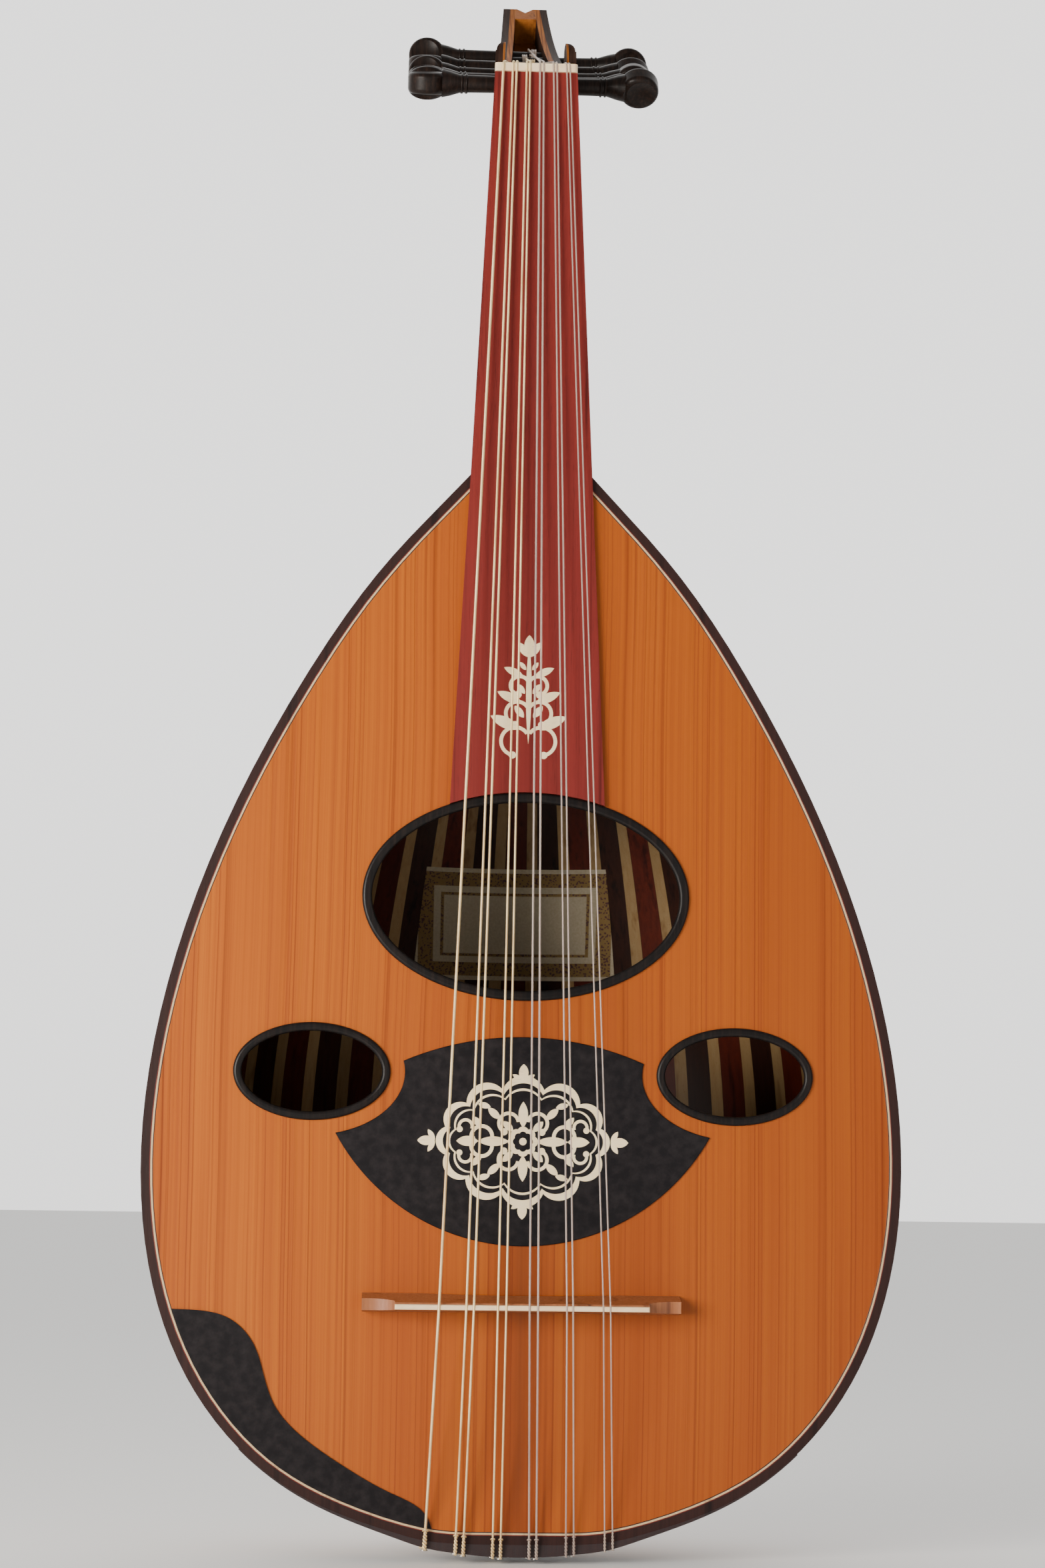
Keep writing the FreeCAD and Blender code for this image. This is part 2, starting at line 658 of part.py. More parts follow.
def string(number, extra=0.0):
    radius = STRINGS[number][3] / 2
    route = string_route(number)
    body = tube(route, [1.6, 12.0, 2.2], radius + extra)
    if extra:
        return body
    depth = pin_depth(number)
    loop = Part.makeTorus(depth - route[0].y, radius, Vector(route[0].x, depth, route[0].z), UP)
    return body.fuse(loop)


def peg(number):
    """A tapered shaft with two fine rings and a dished paddle. The head points along +X before it is placed."""
    side, distance, turn = PEGS[number]
    thin = -local_half(distance) - 1.5
    radius, thick = PADDLE
    neck_end = PEG_HEAD - radius - 6.5
    shaft = Part.makeCone(PEG_TIP, PEG_ROOT, neck_end - thin, Vector(thin, 0, 0), ALONG_X)
    rings = [Part.makeTorus(PEG_ROOT - 0.1, 0.6, Vector(neck_end - back, 0, 0), ALONG_X) for back in (0.8, 3.0)]
    flare = Part.makeCone(PEG_ROOT, 6.0, 5.5, Vector(neck_end - 0.2, 0, 0), ALONG_X)
    shoulder = Part.makeCone(6.0, 6.8, 3.6, Vector(neck_end + 5.3, 0, 0), ALONG_X)
    disc = Part.makeCylinder(radius, thick, Vector(PEG_HEAD, -thick / 2, 0), ALONG_Y)
    rims = [edge for edge in disc.Edges if abs(edge.BoundBox.YLength) < 0.01]
    disc = disc.makeFillet(2.6, rims)
    body = fuse([shaft] + rings + [flare, shoulder, disc])
    for way in (-1, 1):
        body = body.cut(Part.makeSphere(15.0, Vector(PEG_HEAD + 1.2, way * (15.0 + thick / 2 - 1.9), 0)))
    body.rotate(Vector(), ALONG_X, turn)
    if side < 0:
        body.rotate(Vector(), UP, 180)
    y, z = bent(distance, PEG_OFFSET)
    body.translate(Vector(0, y, z))
    return body


def peg_hole(number):
    """The shaft's own taper, a little wider."""
    side, distance, _ = PEGS[number]
    thin = -local_half(distance) - 1.5
    thick = PEG_HEAD - PADDLE[0] - 6.5
    hole = Part.makeCone(PEG_TIP + PEG_GAP, PEG_ROOT + PEG_GAP, thick - thin, Vector(thin, 0, 0), ALONG_X)
    if side < 0:
        hole.rotate(Vector(), UP, 180)
    y, z = bent(distance, PEG_OFFSET)
    hole.translate(Vector(0, y, z))
    return hole


def coil(number):
    """The string's turns on its peg, inwards from where the string arrives, as one grooved sleeve."""
    side = PEGS[number][0]
    diameter = STRINGS[number][3]
    x, y, z = coil_centre(number)
    start = diameter / 2 + COIL_GAP
    inner = PEG_ROOT + 0.01
    outer = []
    for turn in range(COIL_TURNS):
        left = start + turn * diameter
        middle = Vector(left + diameter / 2, 0, inner + diameter)
        outer.append(Part.Arc(Vector(left, 0, inner + diameter / 2), middle,
                              Vector(left + diameter, 0, inner + diameter / 2)).toShape())
    end = start + COIL_TURNS * diameter
    corners = [(start, 0, inner + diameter / 2), (start, 0, inner), (end, 0, inner), (end, 0, inner + diameter / 2)]
    base = Part.makePolygon([Vector(*corner) for corner in corners]).Edges
    face = Part.Face(Part.Wire(Part.__sortEdges__(outer + base)))
    sleeve = face.revolve(Vector(), ALONG_X, 360)
    if side > 0:
        sleeve.rotate(Vector(), UP, 180)
    sleeve.translate(Vector(x, y, z))
    return sleeve


grooves = []
for number in range(len(STRINGS)):
    string_number = number + 1
    save("string_%02d" % string_number, string(number))
    grooves.append(string(number, GROOVE_GAP))
    save("string_coil_%02d" % string_number, coil(number))
    save("tuning_peg_%02d" % string_number, peg(number))

nut = box(-NUT_WIDTH / 2, NUT_WIDTH / 2, NUT_TOP, front(0), 0, NUT_LENGTH)
corners = [edge for edge in nut.Edges if edge.BoundBox.YMax < NUT_TOP + 0.01 and edge.Length < NUT_LENGTH + 0.01]
nut = nut.makeFillet(1.6, corners)
for groove in grooves:
    nut = nut.cut(groove)
save("nut", nut)

# ---------------------------------------------------------------- pegbox


def pegbox_slab(front_offset, back_depths, start=None):
    """A slab across the pegbox between its open edge and a curve at the given depths behind it."""
    middle = BOX_LENGTH / 2
    edge_front = [bent(d, front_offset) for d in (0, middle, BOX_LENGTH)]
    edge_back = [bent(d, depth) for d, depth in zip((0, middle, BOX_LENGTH), back_depths)]
    if start:
        edge_front[0], edge_back[0] = start
    p = [Vector(-40, y, z) for y, z in edge_front]
    q = [Vector(-40, y, z) for y, z in edge_back]
    edges = [Part.Arc(*p).toShape(), Part.makeLine(p[2], q[2]), Part.Arc(*reversed(q)).toShape(),
             Part.makeLine(q[0], p[0])]
    return Part.Face(Part.Wire(edges)).extrude(Vector(80, 0, 0))


def wedge(inset):
    """The tapering space between the pegbox's outer sides, or the sides moved inwards."""
    start = bent(0, 0)
    end = bent(BOX_LENGTH, 0)
    y = end[0] - start[0]
    z = end[1] - start[1]
    length = math.hypot(y, z)
    chord = Vector(0, y / length, z / length)
    across = Vector(0, chord.z, -chord.y)
    origin = Vector(0, start[0], start[1])
    corners = []
    for distance, side in ((-30, -1), (-30, 1), (length + 20, 1), (length + 20, -1)):
        half = NUT_WIDTH / 2 - (NUT_WIDTH - BOX_END_WIDTH) / 2 * distance / length - inset
        corners.append(origin + chord * distance + ALONG_X * (side * half) - across * 60)
    return Part.Face(Part.makePolygon(corners + corners[:1])).extrude(across * 120)


whole = pegbox_slab(0, BOX_DEPTH, SCARF)
lobe_y, lobe_z = bent(*LOBE[:2])
lobe = Part.makeCylinder(LOBE[2], 80, Vector(-40, lobe_y, lobe_z), ALONG_X).cut(neck_solid)
lobe = lobe.cut(box(-50, 50, -30, front(0) + 0.3, -60, 60)).common(wedge(0)).cut(wedge(LOBE[3]))
shoulder = lobe_z + LOBE[2] - LOBE_ROUND
kept = [box(-50, 50, -60, 60, -60, shoulder)]
for side in (-1, 1):
    ear = Vector(side * (NUT_WIDTH / 2 - 0.8 - LOBE_ROUND), -60, shoulder)
    kept.append(Part.makeCylinder(LOBE_ROUND, 120, ear, ALONG_Y))
lobe = lobe.common(fuse(kept))
inner_wedge = wedge(CHEEK)
sides = whole.common(wedge(0)).cut(inner_wedge).fuse(lobe)
floor_slab = whole.cut(pegbox_slab(-5, [depth - BACK for depth in BOX_DEPTH]))
back_plate = floor_slab.common(inner_wedge)


def along_box(x, distance, offset):
    """A point at a distance along the pegbox's end, measured straight on from where the end block starts."""
    y, z = bent(BOX_LENGTH - END, 0)
    angle = BOX_START - (BOX_START - BOX_END) * (BOX_LENGTH - END) / BOX_LENGTH
    y += distance * math.sin(angle) + offset * math.cos(angle)
    z += distance * math.cos(angle) - offset * math.sin(angle)
    return Vector(x, y, z)


def end_region():
    corners = [along_box(-40, d, o) for d, o in ((0, -20), (60, -20), (60, 60), (0, 60))]
    return Part.Face(Part.makePolygon(corners + corners[:1])).extrude(Vector(80, 0, 0))


def notch():
    """A V-shaped groove across the very end of the pegbox."""
    corners = [along_box(x, d, -30) for x, d in ((-NOTCH, END + 1), (NOTCH, END + 1), (0, END - NOTCH))]
    face = Part.Face(Part.makePolygon(corners + corners[:1]))
    return face.extrude(along_box(0, 0, 60) - along_box(0, 0, 0))


end_block = whole.cut(floor_slab).common(inner_wedge).common(end_region())
back_plate = back_plate.cut(notch())
save("pegbox_end_block", end_block.cut(notch()))
holes_all = fuse([peg_hole(number) for number in range(len(PEGS))])
cheeks = sorted(sides.cut(holes_all).Solids, key=lambda solid: solid.CenterOfMass.x)
save("pegbox_left_cheek", cheeks[0])
save("pegbox_right_cheek", cheeks[-1])
save("pegbox_back", back_plate)

# ---------------------------------------------------------------- floating bridge

BODY_TALL = BRIDGE_TOP - SADDLE_TALL
ARCH_HALF = 46.0
ARCH_TALL = 3.5


def bridge_body():
    """A wedge-shaped bar whose low ends are scooped out, hollowed underneath between its two feet."""
    reach = BRIDGE_LENGTH / 2
    profile = polygon([(-reach, -SLIDE_GAP, FOOT[0]), (-reach, -SLIDE_GAP, FOOT[1]), (-reach, -BODY_TALL, CREST[1]),
                       (-reach, -BODY_TALL, CREST[0])])
    body = profile.extrude(Vector(BRIDGE_LENGTH, 0, 0))
    radius, low = SCOOP
    for side in (-1, 1):
        centre = Vector(side * (reach - 3.0), -low - radius, -15)
        scoop = Part.makeCylinder(radius, 30, centre, UP)
        start = side * SADDLE_LENGTH / 2
        region = box(min(start, side * 90), max(start, side * 90), -60, 0, -20, 20)
        body = body.cut(scoop.common(region))
        corner = box(min(start, side * 90), max(start, side * 90), -60, centre.y + 1.0, -20, 20)
        body = body.cut(corner)
    radius = (ARCH_HALF ** 2 + ARCH_TALL ** 2) / (2 * ARCH_TALL)
    arch = Part.makeCylinder(radius, 30, Vector(0, radius - ARCH_TALL, -15), UP)
    body = body.cut(arch)
    body.translate(Vector(0, 0, Z_BRIDGE))
    return body


def saddle():
    reach = SADDLE_LENGTH / 2
    half = SADDLE_THICK / 2
    strip = box(-reach, reach, -BRIDGE_TOP, -BODY_TALL, Z_BRIDGE - half, Z_BRIDGE + half)
    crest = [edge for edge in strip.Edges if edge.BoundBox.YMax < -BRIDGE_TOP + 0.01]
    strip = strip.makeFillet(0.7, crest)
    for groove in grooves:
        strip = strip.cut(groove)
    return strip


save("bridge_body", bridge_body())
save("bridge_saddle", saddle())
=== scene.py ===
import math

import bmesh
import bpy
from mathutils import Matrix, Vector


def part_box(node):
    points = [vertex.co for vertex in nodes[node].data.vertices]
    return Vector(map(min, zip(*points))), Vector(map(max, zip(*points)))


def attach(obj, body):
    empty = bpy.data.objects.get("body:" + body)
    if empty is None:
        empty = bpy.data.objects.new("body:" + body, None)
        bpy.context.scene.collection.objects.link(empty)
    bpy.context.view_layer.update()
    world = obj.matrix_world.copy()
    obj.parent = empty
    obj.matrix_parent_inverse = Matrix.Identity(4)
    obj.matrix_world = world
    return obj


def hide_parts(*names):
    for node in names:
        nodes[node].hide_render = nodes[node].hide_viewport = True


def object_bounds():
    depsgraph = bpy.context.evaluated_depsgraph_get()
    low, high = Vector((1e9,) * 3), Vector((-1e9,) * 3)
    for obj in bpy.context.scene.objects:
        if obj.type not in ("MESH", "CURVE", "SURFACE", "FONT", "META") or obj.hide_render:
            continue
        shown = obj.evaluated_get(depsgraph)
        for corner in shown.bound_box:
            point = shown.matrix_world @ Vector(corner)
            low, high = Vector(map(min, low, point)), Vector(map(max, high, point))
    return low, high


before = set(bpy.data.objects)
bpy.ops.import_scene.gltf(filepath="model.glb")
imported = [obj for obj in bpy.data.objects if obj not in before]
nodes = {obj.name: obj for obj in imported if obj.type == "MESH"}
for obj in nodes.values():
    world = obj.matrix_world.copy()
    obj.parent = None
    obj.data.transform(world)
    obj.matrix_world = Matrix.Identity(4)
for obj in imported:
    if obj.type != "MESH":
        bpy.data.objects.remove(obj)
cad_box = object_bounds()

MM = 0.001
PER_METRE = 1000.0

STRING_COUNT = 11
WOUND_COUNT = 5
COIL_TURNS = 4
NUT_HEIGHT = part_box("nut")[1].z

CAMERA_PLACE = Vector((-0.058, -1.5387, -0.5361))
CAMERA_AIM = Vector((-0.0023, 0.0, -0.3444))
CAMERA_ROLL = math.radians(-0.75)
LENS = 76.5
SENSOR = 36.0

FLOOR_REACH = 30.0
FLOOR_GAP = 1 * MM
LIT_POINT = (0, 0, -0.42)

# the bowl: ribs round one axis a little behind the face. A dark rib takes DARK_TO_MAPLE times the angle
# of a maple strip
DARK_RIBS = 27
DARK_TO_MAPLE = 1.9
MAPLE_ANGLE = math.pi / (DARK_RIBS * DARK_TO_MAPLE + DARK_RIBS - 1)
BOWL_AXIS_DEPTH = 2 * MM
BOWL_MIDDLE_HEIGHT = -0.47
BOWL_RADIUS = 0.17

# the pegbox: its direction as parts along y and z, its length, and in mm how far its cheeks' outer faces
# stand from the middle, how much that shrinks to the far end, and how wide the veneer shows on the open edge
PEGBOX_ALONG_Y = 0.883
PEGBOX_ALONG_Z = 0.469
PEGBOX_LENGTH = 193 * MM
CHEEK_FACE_AT_NUT = 18.9
CHEEK_TAPER = 8.3
VENEER_EDGE = 2.6

# the helix of a coil: turns that pass before it advances, and before it lies at its own radius
COIL_STEPS = 26
COIL_WAIT = 0.35
COIL_EASE = 0.45

# how near a point of a string's mesh has to be to count as its end face, its tied foot or its crest
STRING_END_REACH = 0.9 * MM
FOOT_REACH = 1.2 * MM
CREST_REACH = 4 * MM

# the thin lines on the soundboard: how far out from its edge they start and end, how far their tops stand
# in front of the face, and a point inside the outline
DARK_LINE = (-0.40 * MM, 0.03 * MM)
RED_LINE = (0.88 * MM, 1.30 * MM)
LINE_TOP = -0.05 * MM
BODY_MIDDLE = Vector((0, 0, -0.45))

# the twisted tail at the rim, and the knot at its end
TWIST_LENGTH = 9.5 * MM
TWIST_TURNS = 3.0
TWIST_STEPS = 44
KNOT_STEPS = 14


# ---------------------------------------------------------------- camera, floor and light


def set_camera():
    """The camera stands low, a little left of the instrument, and looks slightly up at it."""
    forward = (CAMERA_AIM - CAMERA_PLACE).normalized()
    level = forward.cross(Vector((0, 0, 1))).normalized()
    upright = level.cross(forward)
    right = level * math.cos(CAMERA_ROLL) - upright * math.sin(CAMERA_ROLL)
    up = upright * math.cos(CAMERA_ROLL) + level * math.sin(CAMERA_ROLL)
    data = bpy.data.cameras.new("camera")
    data.lens = LENS
    data.sensor_width = SENSOR
    camera = bpy.data.objects.new("camera", data)
    turn = Matrix((right, up, -forward)).transposed().to_4x4()
    camera.matrix_world = Matrix.Translation(CAMERA_PLACE) @ turn
    bpy.context.scene.collection.objects.link(camera)
    bpy.context.scene.camera = camera


def area_light(name, place, size, power, colour):
    """A round lamp that points at the instrument's middle."""
    data = bpy.data.lights.new(name, "AREA")
    data.shape = "DISK"
    data.size = size
    data.energy = power
    data.color = colour
    light = bpy.data.objects.new(name, data)
    light.location = place
    light.rotation_euler = (Vector(LIT_POINT) - Vector(place)).to_track_quat("-Z", "Y").to_euler()
    bpy.context.scene.collection.objects.link(light)


def set_stage():
    """A pale floor just under the instrument, a key light from the left and a weak fill from the right."""
    mesh = bpy.data.meshes.new("floor")
    reach = FLOOR_REACH
    height = cad_box[0].z - FLOOR_GAP
    mesh.from_pydata([(-reach, -reach, height), (reach, -reach, height), (reach, reach, height),
                      (-reach, reach, height)], [], [(0, 1, 2, 3)])
    floor = bpy.data.objects.new("floor", mesh)
    bpy.context.scene.collection.objects.link(floor)
    paint = Shader("floor_paint", roughness=0.8, specular_ior_level=0.2)
    paint.set("Base Color", (0.96, 0.955, 0.94, 1))
    mesh.materials.append(paint.material)
    set_world()
    area_light("key", (-1.30, -1.40, -0.32), size=1.1, power=62, colour=(1.0, 0.95, 0.88))
    area_light("fill", (1.3, -1.7, 0.1), size=1.4, power=6, colour=(1.0, 0.97, 0.94))


def set_world():
    """A soft studio, brighter behind the instrument and overhead than in front of it."""
    world = bpy.data.worlds.new("studio")
    world.use_nodes = True
    tree = world.node_tree
    direction = tree.nodes.new("ShaderNodeTexCoord").outputs["Generated"]
    parts = tree.nodes.new("ShaderNodeSeparateXYZ")
    tree.links.new(direction, parts.inputs[0])
    levels = []
    for axis, stops in (("Y", (-0.20, 0.30, 0.80, 1.7)), ("Z", (-0.1, 1.0, 0.25, 1.15))):
        level = tree.nodes.new("ShaderNodeMapRange")
        level.interpolation_type = "SMOOTHSTEP"
        tree.links.new(parts.outputs[axis], level.inputs["Value"])
        for name, value in zip(("From Min", "To Min", "From Max", "To Max"), stops):
            level.inputs[name].default_value = value
        levels.append(level.outputs[0])
    strength = tree.nodes.new("ShaderNodeMath")
    strength.operation = "MULTIPLY"
    tree.links.new(levels[0], strength.inputs[0])
    tree.links.new(levels[1], strength.inputs[1])
    background = tree.nodes["Background"]
    background.inputs["Color"].default_value = (1.0, 0.99, 0.975, 1)
    tree.links.new(strength.outputs[0], background.inputs["Strength"])
    bpy.context.scene.world = world


# ---------------------------------------------------------------- shader helper


class Shader:
    """A material's node tree, with short ways to add nodes. Positions are the row frame's, in metres."""

    def __init__(self, name, **values):
        self.material = bpy.data.materials.new(name)
        self.material.use_nodes = True
        self.tree = self.material.node_tree
        self.bsdf = self.tree.nodes["Principled BSDF"]
        self.place = self.add("ShaderNodeTexCoord").outputs["Object"]
        for key, value in values.items():
            self.set(key.replace("_", " ").title().replace("Ior", "IOR"), value)

    def set(self, socket, value):
        self.bsdf.inputs[socket].default_value = value

    def add(self, kind, **settings):
        node = self.tree.nodes.new(kind)
        for key, value in settings.items():
            setattr(node, key, value)
        return node

    def join(self, value, socket):
        """Links an output to a socket, or sets the socket to a number or colour."""
        if isinstance(value, bpy.types.NodeSocket):
            self.tree.links.new(value, socket)
        else:
            socket.default_value = value

    def to(self, value, name):
        self.join(value, self.bsdf.inputs[name])

    def calc(self, operation, a, b=0.0, c=0.0):
        node = self.add("ShaderNodeMath", operation=operation)
        for value, socket in zip((a, b, c), node.inputs):
            self.join(value, socket)
        return node.outputs[0]

    def vector(self, x=0.0, y=0.0, z=0.0):
        node = self.add("ShaderNodeCombineXYZ")
        for value, socket in zip((x, y, z), node.inputs):
            self.join(value, socket)
        return node.outputs[0]

    def parts(self, vector=None):
        node = self.add("ShaderNodeSeparateXYZ")
        self.join(vector or self.place, node.inputs[0])
        return node.outputs

    def scaled(self, vector, scale, shift=(0, 0, 0)):
        node = self.add("ShaderNodeMapping")
        self.join(vector, node.inputs["Vector"])
        node.inputs["Scale"].default_value = scale
        node.inputs["Location"].default_value = shift
        return node.outputs[0]

    def noise(self, vector, scale=1.0, detail=3.0, roughness=0.55, distortion=0.0):
        node = self.add("ShaderNodeTexNoise")
        self.join(vector, node.inputs["Vector"])
        node.inputs["Scale"].default_value = scale
        node.inputs["Detail"].default_value = detail
        node.inputs["Roughness"].default_value = roughness
        node.inputs["Distortion"].default_value = distortion
        return node.outputs["Fac"]

    def ramp(self, value, *stops):
        """Stops are (position, grey) or (position, colour)."""
        node = self.add("ShaderNodeValToRGB")
        self.join(value, node.inputs[0])
        elements = node.color_ramp.elements
        while len(elements) < len(stops):
            elements.new(0.5)
        for element, (position, colour) in zip(elements, stops):
            element.position = position
            element.color = (colour,) * 3 + (1,) if isinstance(colour, (int, float)) else (*colour, 1)
        return node.outputs[0]

    def mix(self, factor, a, b, blend="MIX"):
        node = self.add("ShaderNodeMix", data_type="RGBA", blend_type=blend)
        self.join(factor, node.inputs["Factor"])
        for value, name in ((a, "A"), (b, "B")):
            sockets = [s for s in node.inputs if s.name == name and s.type == "RGBA"]
            self.join((*value, 1) if isinstance(value, tuple) else value, sockets[0])
        return [s for s in node.outputs if s.type == "RGBA"][0]

    def bump(self, height, strength, distance):
        node = self.add("ShaderNodeBump")
        node.inputs["Strength"].default_value = strength
        node.inputs["Distance"].default_value = distance
        self.join(height, node.inputs["Height"])
        self.to(node.outputs[0], "Normal")


# ---------------------------------------------------------------- woods


def wood(name, pale, mid, dark, fine=900, long=9, streaks=120, streak_level=0.60, roughness=0.42, coat=0.08,
         place=None, tone=None, shader=None, bump=0.15, shine=0.3):
    """Straight-grained wood: fine lines, broad tone and dark streaks that run along the third axis."""
    paint = shader or Shader(name, roughness=roughness, coat_weight=coat, coat_roughness=0.22,
                             specular_ior_level=shine)
    where = place or paint.place
    lines = paint.noise(paint.scaled(where, (fine, fine, long)), 1.0, 4.0, 0.6)
    colour = paint.ramp(lines, (0.30, mid), (0.62, pale))
    broad = paint.noise(paint.scaled(where, (26, 26, 2.0)), 1.0, 2.0, 0.5, 0.3)
    colour = paint.mix(paint.ramp(broad, (0.35, 0.0), (0.70, 0.55)), colour, mid)
    streak = paint.noise(paint.scaled(where, (streaks, streaks, 1.6), (3.1, 1.7, 0.4)), 1.0, 3.0, 0.62, 0.15)
    mask = paint.ramp(streak, (streak_level, 0.0), (streak_level + 0.14, 1.0))
    colour = paint.mix(mask, colour, dark)
    pores = paint.noise(paint.scaled(where, (2600, 2600, 70), (0.3, 0.9, 0.1)), 1.0, 2.0, 0.5)
    pore_mask = paint.ramp(pores, (0.62, 0.0), (0.70, 0.45))
    colour = paint.mix(pore_mask, colour, dark)
    if tone is not None:
        colour = paint.mix(1.0, colour, tone, "MULTIPLY")
    paint.to(colour, "Base Color")
    paint.to(paint.ramp(lines, (0.2, roughness + 0.08), (0.8, roughness - 0.05)), "Roughness")
    paint.bump(paint.calc("SUBTRACT", lines, pore_mask), bump, 0.0004)
    return paint.material


def board_wood():
    """Varnished cedar in two mirrored halves, with fine even grain, some red-brown streaks and painted shade
    on its right half.
    """
    paint = Shader("cedar_top", roughness=0.38, coat_weight=0.10, coat_roughness=0.16,
                   specular_ior_level=0.25)
    x, y, z = paint.parts()
    mirrored = paint.calc("ABSOLUTE", x)
    sway = paint.noise(paint.scaled(paint.place, (3, 3, 5)), 1.0, 1.0)
    across = paint.calc("ADD", mirrored, paint.calc("MULTIPLY", sway, 0.006))
    where = paint.vector(across, y, z)
    rings = paint.noise(paint.scaled(where, (520, 60, 1.1)), 1.0, 3.0, 0.7)
    colour = paint.ramp(rings, (0.32, (0.32, 0.069, 0.003)), (0.50, (0.42, 0.100, 0.005)),
                        (0.68, (0.48, 0.125, 0.007)))
    # painted shade: the board's colour darkens towards its right side (+x), standing in for a key light that
    # falls from the left
    side = paint.ramp(paint.calc("ADD", x, 0.5), (0.32, 0.0), (0.68, 1.0))
    broad = paint.noise(paint.scaled(where, (24, 10, 1.2), (0.6, 0, 0)), 1.0, 3.0, 0.55)
    colour = paint.mix(paint.ramp(broad, (0.36, 0.0), (0.66, 0.75)), colour, (0.32, 0.060, 0.003))
    colour = paint.mix(paint.calc("MULTIPLY", side, 0.60), colour, (0.22, 0.038, 0.002))
    streak = paint.noise(paint.scaled(where, (150, 20, 0.5), (1.4, 0, 0.2)), 1.0, 4.0, 0.65)
    mask = paint.ramp(streak, (0.56, 0.0), (0.68, 0.70))
    colour = paint.mix(mask, colour, (0.13, 0.016, 0.001))
    thin = paint.noise(paint.scaled(where, (900, 60, 0.9), (2.2, 0, 0.7)), 1.0, 2.0, 0.6)
    thin_mask = paint.ramp(thin, (0.57, 0.0), (0.66, 0.55))
    colour = paint.mix(thin_mask, colour, (0.16, 0.022, 0.002))
    from_band = paint.calc("ABSOLUTE", paint.calc("SUBTRACT", across, 0.0085))
    band = paint.ramp(from_band, (0.002, 0.55), (0.0055, 0.0))
    patches = paint.noise(paint.scaled(where, (30, 5, 2.2), (4.0, 0, 0.3)), 1.0, 2.0)
    patchy = paint.ramp(patches, (0.40, 0.0), (0.62, 1.0))
    colour = paint.mix(paint.calc("MULTIPLY", band, patchy), colour, (0.14, 0.018, 0.002))
    seam = paint.ramp(mirrored, (0.00012, 0.6), (0.0003, 0.0))
    colour = paint.mix(seam, colour, (0.13, 0.022, 0.004))
    paint.to(colour, "Base Color")
    paint.to(paint.ramp(rings, (0.3, 0.42), (0.7, 0.33)), "Roughness")
    paint.bump(rings, 0.12, 0.0003)
    return paint.material


def rib_wood(name, pale, mid, dark):
    """Wood whose grain follows the ribs, with its own tone and grain in each rib, thin glue lines, and
    painted shade: the faces towards the inside of the bowl are darker."""
    paint = Shader(name, roughness=0.34, coat_weight=0.20, coat_roughness=0.15, specular_ior_level=0.25)
    x, y, z = paint.parts()
    depth = paint.calc("SUBTRACT", y, BOWL_AXIS_DEPTH)
    angle = paint.calc("ARCTAN2", depth, x)
    period = MAPLE_ANGLE * (1 + DARK_TO_MAPLE)
    rib = paint.calc("FLOOR", paint.calc("DIVIDE", angle, period))
    seed = paint.add("ShaderNodeTexWhiteNoise", noise_dimensions="1D")
    paint.join(paint.calc("ADD", rib, 0.5), seed.inputs["W"])
    own = seed.outputs["Value"]
    across = paint.calc("MULTIPLY", angle, BOWL_RADIUS)
    squares = paint.calc("ADD", paint.calc("MULTIPLY", x, x), paint.calc("MULTIPLY", depth, depth))
    radius = paint.calc("SQRT", squares)
    where = paint.vector(paint.calc("ADD", across, own), radius, z)
    tone = paint.ramp(own, (0.0, 0.72), (1.0, 1.12))
    turn = paint.calc("MODULO", angle, period)
    edge = MAPLE_ANGLE * DARK_TO_MAPLE
    near = paint.calc("MINIMUM", paint.calc("ABSOLUTE", paint.calc("SUBTRACT", turn, edge)),
                      paint.calc("MINIMUM", turn, paint.calc("SUBTRACT", period, turn)))
    from_joint = paint.calc("MULTIPLY", near, paint.calc("MULTIPLY", radius, PER_METRE))
    glue = paint.ramp(from_joint, (0.06, 0.35), (0.16, 1.0))
    shade = paint.mix(1.0, tone, glue, "MULTIPLY")
    # painted shade: faces that look into the bowl are darkened, standing in for the shade inside the closed
    # body
    facing = paint.add("ShaderNodeVectorMath", operation="DOT_PRODUCT")
    paint.join(paint.add("ShaderNodeNewGeometry").outputs["True Normal"], facing.inputs[0])
    rise = paint.calc("MULTIPLY", paint.calc("ADD", z, -BOWL_MIDDLE_HEIGHT), 0.6)
    paint.join(paint.vector(x, depth, rise), facing.inputs[1])
    inside = paint.ramp(facing.outputs["Value"], (0.0, 0.58), (0.01, 1.0))
    shade = paint.mix(1.0, shade, inside, "MULTIPLY")
    return wood(name, pale, mid, dark, fine=420, long=7, streaks=170, streak_level=0.56, roughness=0.33,
                place=where, tone=shade, shader=paint, bump=0.08)


# ---------------------------------------------------------------- other finishes


def black_wood(name, base, brown, roughness, coat):
    """Ebony: nearly black, with faint brown lines along the third axis and a soft polish."""
    paint = Shader(name, roughness=roughness, coat_weight=coat, coat_roughness=0.12,
                   specular_ior_level=0.14)
    lines = paint.noise(paint.scaled(paint.place, (700, 700, 12)), 1.0, 4.0, 0.6)
    colour = paint.mix(paint.ramp(lines, (0.45, 0.0), (0.75, 1.0)), base, brown)
    paint.to(colour, "Base Color")
    dull = paint.noise(paint.scaled(paint.place, (60, 60, 60)), 1.0, 3.0)
    paint.to(paint.ramp(dull, (0.3, roughness - 0.06), (0.7, roughness + 0.10)), "Roughness")
    paint.bump(lines, 0.10, 0.0003)
    return paint.material


def plate_black():
    """The pickguard's lacquered black, very slightly uneven."""
    paint = Shader("plate_black", roughness=0.42, specular_ior_level=0.12)
    mottle = paint.noise(paint.place, 220.0, 5.0, 0.6)
    colour = paint.mix(paint.ramp(mottle, (0.4, 0.0), (0.7, 1.0)), (0.008, 0.007, 0.008),
                       (0.017, 0.014, 0.015))
    paint.to(colour, "Base Color")
    paint.to(paint.ramp(mottle, (0.3, 0.38), (0.7, 0.50)), "Roughness")
    paint.bump(mottle, 0.10, 0.0004)
    return paint.material


